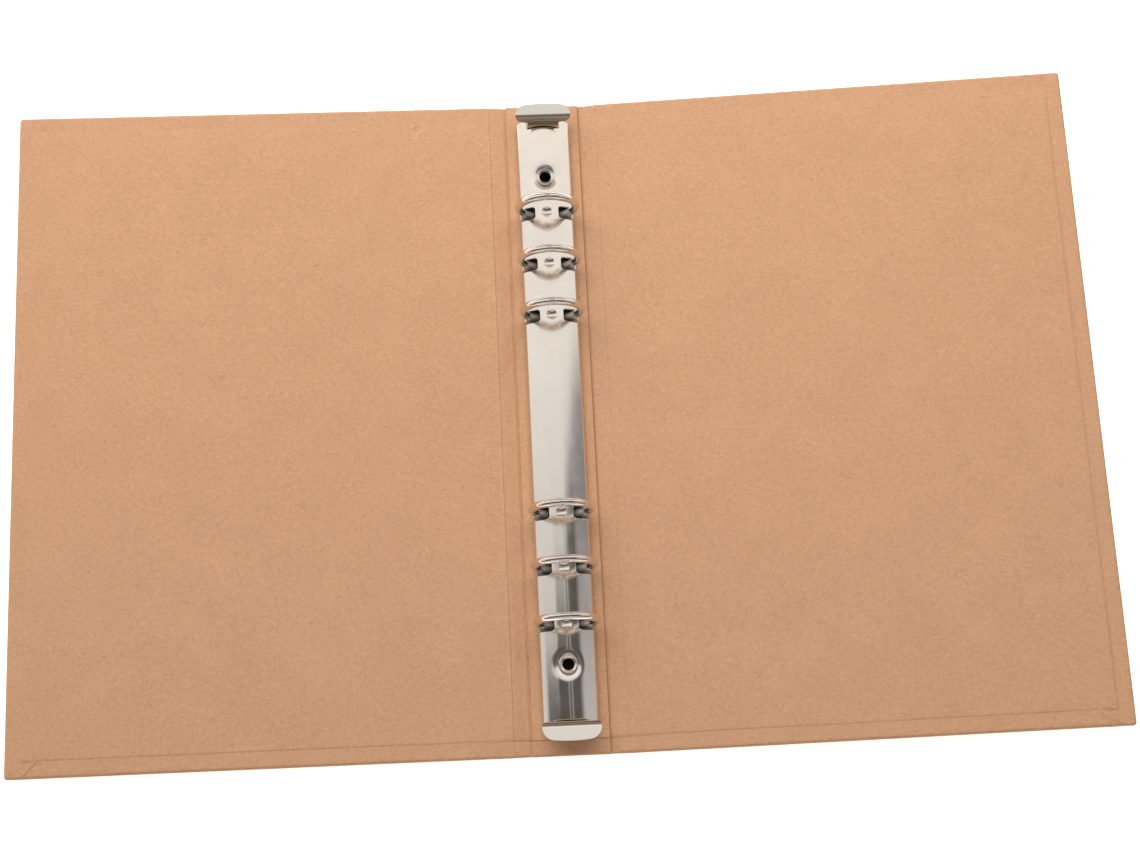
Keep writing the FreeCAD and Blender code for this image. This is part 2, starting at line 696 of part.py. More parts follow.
def lever(label, end, yaw):
    """A bent steel lever: a tab to press, a neck, a knuckle on its pin and a tongue for the carriers."""
    body = new_body(label)
    section = new_sketch(body, "section", "YZ_Plane")
    lean = "(lever_lean)"
    slope = "(tab_slope)"
    run = f"((crest_rise + bend_outer * cos{lean}) / sin{lean} - lever_thick)"
    tab = f"((tab_reach - crest_reach) / cos{slope} + overrun)"

    def riser(radius, along):
        return (f"crest_reach - {radius} * sin{lean} - {along} * cos{lean}",
                f"crest_rise + {radius} * cos{lean} - {along} * sin{lean}")

    def ramp(radius, along):
        return (f"crest_reach + {radius} * sin{slope} + {along} * cos{slope}",
                f"crest_rise + {radius} * cos{slope} - {along} * sin{slope}")

    draw_outline(section, [
        riser("lever_bend", run),
        (*riser("lever_bend", "0"), "lever_bend", "right"),
        ramp("lever_bend", "0"),
        ramp("lever_bend", tab),
        ramp("bend_outer", tab),
        (*ramp("bend_outer", "0"), "bend_outer", "left"),
        riser("bend_outer", "0"),
        riser("bend_outer", run),
    ])
    pad(body, section, "tab_width + 2 * overrun", symmetric=True)

    reach = "tab_reach + 2 * overrun"
    outside = "tab_half + 2 * overrun"
    shape = new_sketch(body, "shape", "XY_Plane")
    tip = "(tab_reach - tab_end_bow)"
    shoulder = f"({tip} - sqrt(tab_corner ^ 2 - (tab_corner - tab_half + tab_end_half) ^ 2))"
    bow = "(tab_end_half ^ 2 + tab_end_bow ^ 2) / (2 * tab_end_bow)"
    draw_rectangle(shape, f"-({outside})", f"-({reach})", outside, reach)
    draw_outline(shape, [
        ("-tab_half", f"overrun - ({reach})"),
        ("tab_half", f"overrun - ({reach})"),
        ("tab_half", shoulder, "tab_corner", "left"),
        ("tab_end_half", tip, bow, "left"),
        ("-tab_end_half", tip, "tab_corner", "left"),
        ("-tab_half", shoulder),
    ])
    pocket(body, shape)

    for side, sign, inward, outward in (("left", "-1 *", "left", "right"), ("right", "1 *", "right", "left")):
        waist = new_sketch(body, f"{side}_waist", "XZ_Plane")
        draw_outline(waist, [
            (f"{sign} neck_half", "-knuckle_diameter"),
            (f"{sign} neck_half", "heel_rise - neck_flare", "neck_flare", inward),
            (f"{sign} (neck_half + neck_flare)", "heel_rise"),
            (f"{sign} (tab_half - heel_width)", "heel_rise", "heel_round", outward),
            (f"{sign} tab_half", "heel_rise + heel_height"),
            (f"{sign} ({outside})", "heel_rise + heel_height"),
            (f"{sign} ({outside})", "-knuckle_diameter"),
        ])
        pocket(body, waist)

    knuckle = new_sketch(body, "knuckle", "YZ_Plane")
    draw_circle(knuckle, "0", "0", "knuckle_radius")
    pad(body, knuckle, "neck_width", symmetric=True)
    tongue = new_sketch(body, "tongue", "YZ_Plane")
    tongue_low = "-tongue_drop - tongue_thick / 2"
    draw_rectangle(tongue, "-tongue_reach", tongue_low, "0", f"{tongue_low} + tongue_thick")
    pad(body, tongue, "tongue_width", symmetric=True)
    bore = new_sketch(body, "bore", "YZ_Plane")
    draw_circle(bore, "0", "0", "pin_radius + pin_play")
    pocket(body, bore)
    place(body, "0", f"{end} lever_y", "deck + lever_height", yaw)


def lever_pins():
    """The two straight pins that the levers turn on, held in the plate's ears."""
    pins = []
    for name, end in (("head_pin", "1 *"), ("tail_pin", "-1 *")):
        pin = doc.addObject("Part::Cylinder", name)
        bind(pin, "Radius", "pin_radius")
        bind(pin, "Height", "2 * (ear_inner + ear_thick)")
        place(pin, "-(ear_inner + ear_thick)", f"{end} lever_y", "deck + lever_height", "0", "90", "0")
        pins.append(pin)
    group = doc.addObject("Part::Compound", "lever_pins")
    group.Label = "lever_pins"
    group.Links = pins


def spine_rivets():
    """Hollow rivets: a shallow domed head in the back of the spine, a shank and a rolled-over end."""
    rivets = []
    for name, end in (("head_rivet", "1 *"), ("tail_rivet", "-1 *")):
        body = new_body(name)
        section = new_sketch(body, "section", "XZ_Plane")
        rim = "head_recess + head_dome"
        roll = "flare_height / 2"
        draw_outline(section, [
            ("0", "head_recess", "(head_radius ^ 2 + head_dome ^ 2) / (2 * head_dome)", "left"),
            ("head_radius", rim),
            ("head_radius", f"{rim} + head_thick"),
            ("shank_radius", f"{rim} + head_thick"),
            ("shank_radius", "flare_top - flare_height"),
            (f"rivet_flare / 2 - {roll}", "flare_top - flare_height", roll, "left"),
            ("rivet_flare / 2", f"flare_top - {roll}", roll, "left"),
            (f"rivet_flare / 2 - {roll}", "flare_top"),
            ("rivet_bore / 2", f"flare_top - {roll}"),
            ("rivet_bore / 2", f"{rim} + head_thick"),
            ("0", f"{rim} + head_thick"),
        ])
        turned = body.newObject("PartDesign::Revolution", name + "_turned")
        turned.Profile = section
        turned.ReferenceAxis = (section, ["V_Axis"])
        turned.Angle = 360
        place(body, "0", f"{end} rivet_y", "0")
        rivets.append(body)
    group = doc.addObject("Part::Compound", "spine_rivets")
    group.Label = "spine_rivets"
    group.Links = rivets


ring_plate()
spine_pieces()
spine_rivets()
lever_pins()
lever("head_lever", "1 *", "0")
lever("tail_lever", "-1 *", "180")
for side_name in SIDES:
    cover_board(side_name)
    cover_paper(side_name)
    cover_liner(side_name)
    joint_pieces(side_name)
    carrier(side_name)
    for ring_count, ring_station in enumerate(RING_STATIONS, start=1):
        half_ring(side_name, ring_count, ring_station)
doc.recompute()

NODES = ["ring_plate", "spine_rivets", "lever_pins", "head_lever", "tail_lever"]
NODES += ["spine_board", "spine_paper", "spine_liner"]
for side_name in SIDES:
    NODES += [f"{side_name}_{piece}" for piece in ("board", "cover_paper", "liner")]
    NODES += [f"{side_name}_{piece}" for piece in ("joint_paper", "joint_liner", "carrier")]
    NODES += [f"{side_name}_ring_{count}" for count in range(1, len(RING_STATIONS) + 1)]

CUTS = ("PartDesign::Pocket", "PartDesign::SubtractiveCone", "PartDesign::SubtractiveSphere")
for item in doc.Objects:
    if "Invalid" in item.State or "Error" in item.State:
        raise RuntimeError(f"{item.Label} failed: {item.State}")
    if item.TypeId in CUTS and item.Shape.Volume >= item.BaseFeature.Shape.Volume:
        raise RuntimeError(f"{item.Label} cuts nothing")
os.makedirs("parts", exist_ok=True)
pieces = {node: doc.getObjectsByLabel(node)[0].Shape for node in NODES}
for node, shape in pieces.items():
    if shape.isNull() or not shape.isValid():
        raise RuntimeError(f"{node} has no valid shape")
for node, shape in pieces.items():
    shape.exportStep(f"parts/{node}.step")
    print(node, len(shape.Solids), round(shape.Volume, 2))
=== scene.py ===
import math

import bmesh
import bpy
from mathutils import Matrix, Vector, noise


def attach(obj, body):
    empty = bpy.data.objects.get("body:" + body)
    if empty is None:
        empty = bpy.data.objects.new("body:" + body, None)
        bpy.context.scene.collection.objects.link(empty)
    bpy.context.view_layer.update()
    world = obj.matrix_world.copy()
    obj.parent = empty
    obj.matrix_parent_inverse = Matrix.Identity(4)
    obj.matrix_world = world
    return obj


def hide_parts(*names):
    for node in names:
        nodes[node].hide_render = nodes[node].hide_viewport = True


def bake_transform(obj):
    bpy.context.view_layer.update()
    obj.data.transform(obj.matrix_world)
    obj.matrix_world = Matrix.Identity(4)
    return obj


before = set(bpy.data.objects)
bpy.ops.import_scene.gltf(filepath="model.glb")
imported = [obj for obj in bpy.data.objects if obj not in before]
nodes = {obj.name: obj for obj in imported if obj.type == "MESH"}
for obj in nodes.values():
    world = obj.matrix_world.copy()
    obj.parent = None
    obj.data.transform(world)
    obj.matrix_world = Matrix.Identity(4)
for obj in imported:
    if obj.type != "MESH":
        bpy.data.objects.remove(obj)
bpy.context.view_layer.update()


# Boards
# Three cut pieces of grey pulp board, one for each cover and one for the spine. They are glued side by
# side on one sheet of kraft paper, which is why nothing of them shows once the case is made.
def new_material(name):
    material = bpy.data.materials.new(name)
    material.use_nodes = True
    return material, material.node_tree.nodes["Principled BSDF"]


def feed(material, made, inputs):
    """Gives a node its inputs, each of them a value or another node's output."""
    for name, value in inputs.items():
        if isinstance(value, bpy.types.NodeSocket):
            material.node_tree.links.new(value, made.inputs[name])
        else:
            made.inputs[name].default_value = value


def add_node(material, kind, inputs=None, **settings):
    """Adds a shader node and returns its outputs."""
    made = material.node_tree.nodes.new("ShaderNode" + kind)
    for name, value in settings.items():
        setattr(made, name, value)
    feed(material, made, inputs or {})
    return made.outputs


def ramp(material, factor, *stops):
    """Colours or greys at given places along a factor, with even passages between them."""
    made = material.node_tree.nodes.new("ShaderNodeValToRGB")
    material.node_tree.links.new(factor, made.inputs["Fac"])
    while len(made.color_ramp.elements) < len(stops):
        made.color_ramp.elements.new(0.5)
    for element, (position, colour) in zip(made.color_ramp.elements, stops):
        element.position = position
        element.color = (*colour, 1.0) if isinstance(colour, tuple) else (colour, colour, colour, 1.0)
    return made.outputs["Color"]


def pattern(material, scale, stretch=(1, 1, 1), turn=0.0, detail=4.0, rough=0.6):
    """Noise in the object's own metres, stretched and turned about the upright axis."""
    place = add_node(material, "TexCoord")["Object"]
    mapped = add_node(material, "Mapping", {"Vector": place, "Scale": stretch, "Rotation": (0, 0, turn)})
    return add_node(material, "TexNoise", {
        "Vector": mapped["Vector"], "Scale": scale, "Detail": detail, "Roughness": rough})["Fac"]


def fine_relief(material, height, strength, distance):
    return add_node(material, "Bump", {
        "Height": height, "Strength": strength, "Distance": distance})["Normal"]


def dress(material, *names):
    """Gives solids that stay as they were built their material."""
    for name in names:
        nodes[name].data.materials.clear()
        nodes[name].data.materials.append(material)


grey_board, shader = new_material("grey_board")
pulp = pattern(grey_board, 900)
feed(grey_board, shader, {
    "Base Color": ramp(grey_board, pulp, (0.3, (0.24, 0.21, 0.18)), (0.7, (0.34, 0.31, 0.27))),
    "Roughness": ramp(grey_board, pulp, (0.3, 0.82), (0.7, 0.95)),
    "Normal": fine_relief(grey_board, pulp, strength=0.4, distance=0.0002),
})
dress(grey_board, "left_board", "right_board", "spine_board")


# Kraft paper round the boards
# One sheet of brown kraft paper, glued to the backs of the boards and turned in over their edges. Between
# the boards it is pressed into two grooves, where the covers hinge.
def maths(material, operation, *values):
    return add_node(material, "Math", dict(enumerate(values)), operation=operation)["Value"]


def mix(material, share, first, second):
    return add_node(material, "MixRGB", {"Fac": share, "Color1": first, "Color2": second})["Color"]


def kraft_paper(name, turn):
    """Unbleached kraft: an even brown with a fine mottle, short darker fibres and a dry, matt face."""
    material, shader = new_material(name)
    clouds = pattern(material, 60, turn=turn, detail=3)
    mottle = pattern(material, 620, (1, 1.6, 1), turn, detail=5, rough=0.7)
    tooth = pattern(material, 2600, (1, 1.5, 1), turn, detail=3)
    strands = pattern(material, 420, (0.8, 6.0, 1), turn + 0.3, detail=2, rough=0.5)
    cross = pattern(material, 420, (5.0, 0.9, 1), turn - 0.2, detail=2, rough=0.5)
    grain = mix(material, 0.6, mottle, tooth)
    pulp = mix(material, 0.1, grain, clouds)
    brown = ramp(material, pulp, (0.3, (0.380, 0.196, 0.101)), (0.5, (0.518, 0.281, 0.152)),
                 (0.7, (0.662, 0.376, 0.213)))
    fibres = ramp(material, maths(material, "MAXIMUM", strands, cross), (0.63, 0.0), (0.76, 0.3))
    fibre_brown = (0.33, 0.165, 0.085, 1)
    roughened = maths(material, "ADD", tooth, mottle)
    feed(material, shader, {
        "Base Color": mix(material, fibres, brown, fibre_brown),
        "Roughness": ramp(material, mottle, (0.3, 0.62), (0.7, 0.75)),
        "Specular IOR Level": 0.45,
        "Normal": fine_relief(material, roughened, strength=0.2, distance=0.0001),
    })
    return material


def smooth_step(share):
    share = min(max(share, 0.0), 1.0)
    return share * share * (3 - 2 * share)


mm = 0.001
spine_edge, groove_width, hinge_height = 12.7, 7.0, 0.956
hinge_line, groove_end = spine_edge + groove_width / 2, spine_edge + groove_width
cover_edge, cover_end, board_top = 185.0, 116.0, 2.1
lifts, signs = {"left": 0.94, "right": 5.4}, {"left": -1, "right": 1}
press_depth, crease_width = 1.15, 0.55
groove_rises = ((0.45, 1.0, 0.35), (1.2, 4.6, 0.5), (6.0, 0.6, 0.15))
welt_place, welt_width, welt_height, welt_end = 6.5, 0.3, 0.1, 12
wear, wear_pace, wear_row = 0.12, 0.045, 7.3


def groove_depth(across, along, sign):
    """How far the paper is pressed in: a sharp crease at the spine board, a long rise and a low welt."""
    from_spine = across - spine_edge
    crease = smooth_step(from_spine / crease_width)
    pressed = 1
    for start, width, share in groove_rises:
        pressed -= share * smooth_step((from_spine - start) / width)
    worn = 1 + wear * noise.noise(Vector((sign * wear_row, along * wear_pace, 0.0)))
    welt = welt_height * math.exp(-((from_spine - welt_place) / welt_width) ** 2)
    welt *= smooth_step((cover_end - abs(along)) / welt_end)
    return press_depth * worn * crease * pressed - welt


def lie(side, across, along, height):
    """A point of the flat case as it lies at rest, with its cover lifted a little about the groove."""
    angle = math.radians(lifts[side]) * smooth_step((across - spine_edge) / groove_width)
    out, up = across - hinge_line, height - hinge_height
    x = hinge_line + out * math.cos(angle) - up * math.sin(angle)
    z = hinge_height + out * math.sin(angle) + up * math.cos(angle)
    return Vector((signs[side] * x, along, z)) * mm


sharp_fold = math.radians(50)


def finished(name, mesh, material):
    """The mesh as an object at the origin, with outward faces and its sharper edges kept crisp."""
    bmesh.ops.recalc_face_normals(mesh, faces=mesh.faces)
    data = bpy.data.meshes.new(name)
    mesh.to_mesh(data)
    mesh.free()
    data.polygons.foreach_set("use_smooth", [True] * len(data.polygons))
    data.set_sharp_from_angle(angle=sharp_fold)
    data.materials.append(material)
    piece = bpy.data.objects.new(name, data)
    bpy.context.scene.collection.objects.link(piece)
    return piece


def closed_sheet(name, columns, rows, point, material):
    """A thin closed body: an upper and a lower face over a grid, joined by walls round its border."""
    mesh = bmesh.new()
    top, low = grids = [[[mesh.verts.new(point(column, row, upper)) for row in rows] for column in columns]
                        for upper in (True, False)]
    last_column, last_row = len(columns) - 1, len(rows) - 1
    for grid in grids:
        for i in range(last_column):
            for j in range(last_row):
                mesh.faces.new((grid[i][j], grid[i + 1][j], grid[i + 1][j + 1], grid[i][j + 1]))
    border = [(i, 0) for i in range(last_column)] + [(last_column, j) for j in range(last_row)]
    border += [(i, last_row) for i in range(last_column, 0, -1)] + [(0, j) for j in range(last_row, 0, -1)]
    for (i, j), (next_i, next_j) in zip(border, border[1:] + border[:1]):
        mesh.faces.new((top[i][j], top[next_i][next_j], low[next_i][next_j], low[i][j]))
    return finished(name, mesh, material)


def spread(start, end, step):
    count = max(1, round((end - start) / step))
    return [start + (end - start) * n / count for n in range(count + 1)]


fold_radius, plan_radius, edge_room = 0.9, 1.2, 3
fold_share, end_draw, end_reach = 0.48, 0.16, 3
edge_steps = [0.0, 0.06, 0.2, 0.42, 0.66, 0.9, 1.2]
groove_steps = [0.0, 0.08, 0.16, 0.24, 0.32, 0.4, 0.48, 0.56, 0.68, 0.8, 0.95, 1.1, 1.25, 1.45, 1.8, 2.2]
groove_steps += [2.7, 3.2, 3.7, 4.2, 4.7, 5.2, 5.7, 5.95, 6.1, 6.25, 6.4, 6.5, 6.6, 6.75, 6.9, 7.0]
wrap_rows = [-cover_end + step for step in edge_steps]
wrap_rows += spread(-cover_end + edge_room, cover_end - edge_room, step=4.0)
wrap_rows += [cover_end - step for step in reversed(edge_steps)]


def fold_round(depth, radius):
    """How far a folded edge falls away from the face, at a distance in from the edge."""
    inside = max(radius - depth, 0.0)
    return radius - math.sqrt(max(radius * radius - inside * inside, 0.0))


def wrapped(side):
    """The outside of one cover and its groove, from the spine's edge to the fore-edge."""
    def point(across, along, upper):
        from_fore, from_end = cover_edge - across, cover_end - abs(along)
        depth = min(from_fore, from_end)
        if from_fore < plan_radius and from_end < plan_radius:
            a, b = 1 - from_fore / plan_radius, 1 - from_end / plan_radius
            round_a, round_b = a * math.sqrt(1 - b * b / 2), b * math.sqrt(1 - a * a / 2)
            across = cover_edge - plan_radius * (1 - round_a)
            along = math.copysign(cover_end - plan_radius * (1 - round_b), along)
            depth = plan_radius * (1 - math.hypot(round_a, round_b))
        pressed = groove_depth(across, along, signs[side])
        thick = board_top - pressed
        fall = fold_round(depth, min(fold_radius, fold_share * thick))
        along -= math.copysign(end_draw * pressed * smooth_step(1 - from_end / end_reach), along)
        return lie(side, across, along, thick - fall if upper else fall)
    columns = [spine_edge + step for step in groove_steps]
    columns += spread(groove_end + 1, cover_edge - edge_room, step=6.0)
    columns += [cover_edge - step for step in reversed(edge_steps)]
    return closed_sheet(f"{side}_cover_wrap", columns, wrap_rows, point, kraft)


def across_groove(piece):
    """Bakes a piece's placing into its mesh and returns it."""
    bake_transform(piece)
    return piece


kraft = kraft_paper("kraft_paper", 0.0)
for side in ("left", "right"):
    wrap = across_groove(wrapped(side))
    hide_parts(f"{side}_cover_paper", f"{side}_joint_paper")


# Spine paper
# The same sheet over the spine's back and in over its head and tail. Two round holes let the heads of
# the rivets lie flush with the back.
def spine_point(across, along, upper):
    fall = fold_round(cover_end - abs(along), fold_radius)
    return Vector((across, along, board_top - fall if upper else fall)) * mm


spine_columns = spread(-spine_edge, spine_edge, step=4.5)
spine_wrap = closed_sheet("spine_wrap", spine_columns, wrap_rows, spine_point, kraft)
rivet_place, head_hole, head_depth, shank_hole, shank_depth = 86.5, 4.55, 2.3, 2.65, 6.0
drill_mesh = bmesh.new()
for end in (-1, 1):
    for radius, depth in ((head_hole, head_depth), (shank_hole, shank_depth)):
        seat = Matrix.Translation((0, end * rivet_place * mm, 0))
        bmesh.ops.create_cone(drill_mesh, cap_ends=True, segments=64, radius1=radius * mm,
                              radius2=radius * mm, depth=depth * mm, matrix=seat)
drill = finished("rivet_drill", drill_mesh, kraft)
cut = spine_wrap.modifiers.new("rivet_holes", "BOOLEAN")
cut.operation, cut.object, cut.solver, cut.use_self = "DIFFERENCE", drill, "EXACT", True
bpy.context.view_layer.update()
pierced = bpy.data.meshes.new_from_object(
    spine_wrap.evaluated_get(bpy.context.evaluated_depsgraph_get()))
spine_wrap.modifiers.clear()
spine_wrap.data = pierced
bpy.data.objects.remove(drill)
burr = 0.002 * mm
burr_free = bmesh.new()
burr_free.from_mesh(pierced)
bmesh.ops.remove_doubles(burr_free, verts=burr_free.verts, dist=burr)
bmesh.ops.dissolve_degenerate(burr_free, edges=burr_free.edges, dist=burr)
burr_free.to_mesh(pierced)
burr_free.free()
pierced.set_sharp_from_angle(angle=sharp_fold)
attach(spine_wrap, "spine")
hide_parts("spine_paper")


# Turned-in corners
# At each corner the paper of the head or tail edge lies over the paper of the fore-edge, cut off at a
# slant, so that a fine step runs out from under the lining to the corner. At the head it is rubbed flat,
# and at the tail the glue has lifted it into a low ridge.
corner_cuts = {
    ("left", -1): ((4.7, 0.92), (4.7, 0.92)),
    ("right", -1): ((0.0, 2.7), (4.0, 1.1)),
    ("left", 1): ((4.0, 1.1), (4.0, 1.1)),
    ("right", 1): ((3.0, 1.4), (3.0, 1.4)),
}
lap_start, lap_fade, lap_under = groove_end + 1.0, 12, 0.05
lap_thicks, ridge_heights = {-1: 0.13, 1: 0.03}, {-1: 0.26, 1: 0.0}
ridge_inset, ridge_width, plain_slant = 0.5, 0.4, 1.1
cut_height, fold_rise, cut_wander, cut_pace = 0.15, 0.4, 0.14, 0.9
lap_depths = [0.25, 0.45, 0.7, 1.0, 1.6, 2.4, 3.2, 4.2, 5.2, 6.6]
run_shares = [n / 180 for n in (0, 6, 13, 36, 72, 108, 144, 166)]
curl_steps = [0.0, 1.0, 1.6, 2.0, 2.2, 2.4, 2.55, 2.7, 2.82, 2.92, 3.0]
lap_columns = [(share, 0.0) for share in run_shares] + [(1.0, step) for step in curl_steps]


def corner_lap(side, end):
    """A strip of turned-in paper along the head or tail of a cover, with its slanted end."""
    (first_gap, first_slant), (gap, slant) = corner_cuts[side, end]
    drawn_out = max(first_slant / plain_slant, 1.0)

    def point(column, depth, upper):
        share, curled = column
        slanted = min(first_gap + first_slant * depth, gap + slant * depth)
        wander = cut_wander * noise.noise(Vector((depth * cut_pace, signs[side] * 3.1, end * 5.7)))
        stop = cover_edge - slanted + wander
        run = stop - curl_steps[-1] * drawn_out - lap_start
        across = lap_start + run * share + curled * drawn_out
        within = (stop - across) / drawn_out
        ridge = ridge_heights[end] * math.exp(-((within - ridge_inset) / ridge_width) ** 2)
        raised = (lap_thicks[end] + ridge) * smooth_step(within / ridge_width + cut_height)
        raised *= smooth_step((depth - lap_depths[0]) / fold_rise)
        raised *= smooth_step((across - lap_start) / lap_fade)
        face = board_top - fold_round(depth, fold_radius)
        return lie(side, across, end * (cover_end - depth), face + raised if upper else face - lap_under)
    return closed_sheet(f"{side}_{'head' if end > 0 else 'tail'}_lap", lap_columns, lap_depths, point, kraft)


for side, end in corner_cuts:
    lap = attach(corner_lap(side, end), f"{side}_cover")


# Lining
# A second sheet of the same kraft, pasted over the boards and the turned-in edges with an even margin and
# rubbed down into the grooves, hardest at the head. It was cut by hand, so its edges wander a little.
lining_margin, lining_thick, paste_thick = 5.4, 0.3, 0.02
lining_edge, lining_end = cover_edge - lining_margin, cover_end - lining_margin
rub, rub_width, head_rub, head_rub_width = 0.19, 0.7, 0.27, 3.5
unsteady, unsteady_pace, unsteady_reach = 0.16, 0.06, 2
pasted_steps = [0.0, 0.1, 0.25, 0.45, 0.7]
lining_rows = [-lining_end + step for step in pasted_steps]
lining_rows += spread(-lining_end + 1, lining_end - 1, step=3.0)
lining_rows += [lining_end - step for step in reversed(pasted_steps)]


def lining(side):
    """The inside sheet of one cover and its groove, with a rubbed border and unsteady edges."""
    def point(across, along, upper):
        sign = signs[side]
        near_end = smooth_step(1 - (lining_end - abs(along)) / unsteady_reach)
        near_fore = smooth_step(1 - (lining_edge - across) / unsteady_reach)
        end_noise = noise.noise(Vector((sign * across * unsteady_pace, math.copysign(9.0, along), 1.7)))
        end_wander = unsteady * end_noise * smooth_step((across - spine_edge) / groove_width)
        fore_wander = unsteady * noise.noise(Vector((sign * 4.4, along * unsteady_pace, 8.2)))
        base = board_top - groove_depth(across, along, sign)
        border = min(lining_edge - across, lining_end - abs(along))
        rubbed = max(rub * smooth_step(1 - border / rub_width),
                     head_rub * smooth_step(1 - (lining_end - along) / head_rub_width))
        height = base + lining_thick - rubbed if upper else base + paste_thick
        return lie(side, across + fore_wander * near_fore, along + end_wander * near_end, height)
    columns = [spine_edge + step for step in groove_steps]
    columns += spread(groove_end + 1, lining_edge - 1, step=5.0)
    columns += [lining_edge - step for step in reversed(pasted_steps)]
    return closed_sheet(f"{side}_lining", columns, lining_rows, point, lining_kraft)


lining_kraft = kraft_paper("lining_kraft", 1.3)
for side in ("left", "right"):
    sheet = across_groove(lining(side))
    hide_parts(f"{side}_liner", f"{side}_joint_liner")
dress(lining_kraft, "spine_liner")


# Loose fibres
# Short plant fibres that stand out of the lining's face, as they do on all rough kraft. They lie flat in
# the paper, every way round, some darker and some paler than the sheet.
def fibre_tree(name, material):
    """Scatters bent fibres over a face: their number, length and width are the tree's inputs."""
    tree = bpy.data.node_groups.new(name, "GeometryNodeTree")
    ports = {}
    for label, kind in (("Face", "NodeSocketGeometry"), ("Fibres per square metre", "NodeSocketFloat"),
                        ("Longest fibre", "NodeSocketFloat"), ("Fibre width", "NodeSocketFloat"),
                        ("Seed", "NodeSocketInt")):
        ports[label] = tree.interface.new_socket(label, in_out="INPUT", socket_type=kind).identifier
    tree.interface.new_socket("Fibres", in_out="OUTPUT", socket_type="NodeSocketGeometry")

    def make(kind, **inputs):
        made = tree.nodes.new(kind)
        for name, value in inputs.items():
            target = made.inputs[name.replace("_", " ")]
            if isinstance(value, bpy.types.NodeSocket):
                tree.links.new(value, target)
            else:
                target.default_value = value
        return made

    given = make("NodeGroupInput").outputs
    scatter = make("GeometryNodeDistributePointsOnFaces", Mesh=given["Face"],
                   Density=given["Fibres per square metre"], Seed=given["Seed"]).outputs
    bow = make("GeometryNodeCurveQuadraticBezier", Resolution=4, Start=(-0.5, 0, 0), Middle=(0, 0.22, 0),
               End=(0.5, 0, 0)).outputs["Curve"]
    longest = make("ShaderNodeCombineXYZ", X=given["Longest fibre"], Y=given["Longest fibre"], Z=1.0)
    sized = make("GeometryNodeTransform", Geometry=bow, Scale=longest.outputs["Vector"]).outputs["Geometry"]
    thread = make("GeometryNodeCurvePrimitiveCircle", Resolution=4, Radius=given["Fibre width"])
    strand = make("GeometryNodeCurveToMesh", Curve=sized, Profile_Curve=thread.outputs["Curve"],
                  Fill_Caps=True).outputs["Mesh"]
    any_way = make("FunctionNodeRandomValue", Max=2 * math.pi).outputs["Value"]
    spin = make("FunctionNodeAxisAngleToRotation", Angle=any_way).outputs["Rotation"]
    heading = make("FunctionNodeRotateRotation", Rotation=scatter["Rotation"], Rotate_By=spin)
    heading.rotation_space = "LOCAL"
    length = make("FunctionNodeRandomValue", Min=0.25, Max=1.0, Seed=5).outputs["Value"]
    stretch = make("ShaderNodeCombineXYZ", X=length, Y=length, Z=1.0).outputs["Vector"]
    placed = make("GeometryNodeInstanceOnPoints", Points=scatter["Points"], Instance=strand,
                  Rotation=heading.outputs["Rotation"], Scale=stretch).outputs["Instances"]
    real = make("GeometryNodeRealizeInstances", Geometry=placed).outputs["Geometry"]
    coloured = make("GeometryNodeSetMaterial", Geometry=real, Material=material).outputs["Geometry"]
    make("NodeGroupOutput", Fibres=coloured)
    return tree, ports


fibre_stuff, shader = new_material("kraft_fibre")
tint = pattern(fibre_stuff, 140, detail=1)
feed(fibre_stuff, shader, {
    "Base Color": ramp(fibre_stuff, tint, (0.42, (0.24, 0.115, 0.055)), (0.58, (0.56, 0.35, 0.21))),
    "Roughness": ramp(fibre_stuff, tint, (0.4, 0.75), (0.6, 0.9)),
    "Specular IOR Level": 0.2,
})
fibre_nodes, fibre_ports = fibre_tree("lining_fibres", fibre_stuff)
bare_border, bare_by_groove = 1, 2
for seed, side in enumerate(("left", "right"), start=11):
    near, far, end = groove_end + bare_by_groove, lining_edge - bare_border, lining_end - bare_border
    mesh = bmesh.new()
    ground = [mesh.verts.new(lie(side, across, along, board_top + lining_thick))
              for across, along in ((near, -end), (far, -end), (far, end), (near, end))]
    mesh.faces.new(ground if side == "right" else ground[::-1])
    data = bpy.data.meshes.new(f"{side}_fibre_ground")
    mesh.to_mesh(data)
    mesh.free()
    fibres = bpy.data.objects.new(f"{side}_fibres", data)
    bpy.context.scene.collection.objects.link(fibres)
    growth = fibres.modifiers.new("fibres", "NODES")
    growth.node_group = fibre_nodes
    growth[fibre_ports["Fibres per square metre"]] = 42000.0
    growth[fibre_ports["Longest fibre"]] = 0.0021
    growth[fibre_ports["Fibre width"]] = 0.00004
    growth[fibre_ports["Seed"]] = seed
    bpy.context.view_layer.update()
    grown = bpy.data.meshes.new_from_object(
        fibres.evaluated_get(bpy.context.evaluated_depsgraph_get()))
    fibres.modifiers.clear()
    fibres.data = grown
    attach(fibres, f"{side}_cover")


# Ring plate and rivets
# The plate is arched from bright nickel-plated sheet steel, rolled along its length, with a punched dimple
# at each ring and a dished seat at each rivet. Two hollow rivets clench it to the spine.
def own_place(material):
    """The object's own X, Y and Z, in metres."""
    return add_node(material, "SeparateXYZ", {"Vector": add_node(material, "TexCoord")["Object"]})


def fade(material, value, low, high, start=0.0, end=1.0):
    """A smooth passage from start to end while a value goes from low to high."""
    return add_node(material, "MapRange", {
        "Value": value, "From Min": low, "From Max": high, "To Min": start, "To Max": end},
        interpolation_type="SMOOTHSTEP")["Result"]


def unit(material, vector):
    return add_node(material, "VectorMath", {0: vector}, operation="NORMALIZE")["Vector"]


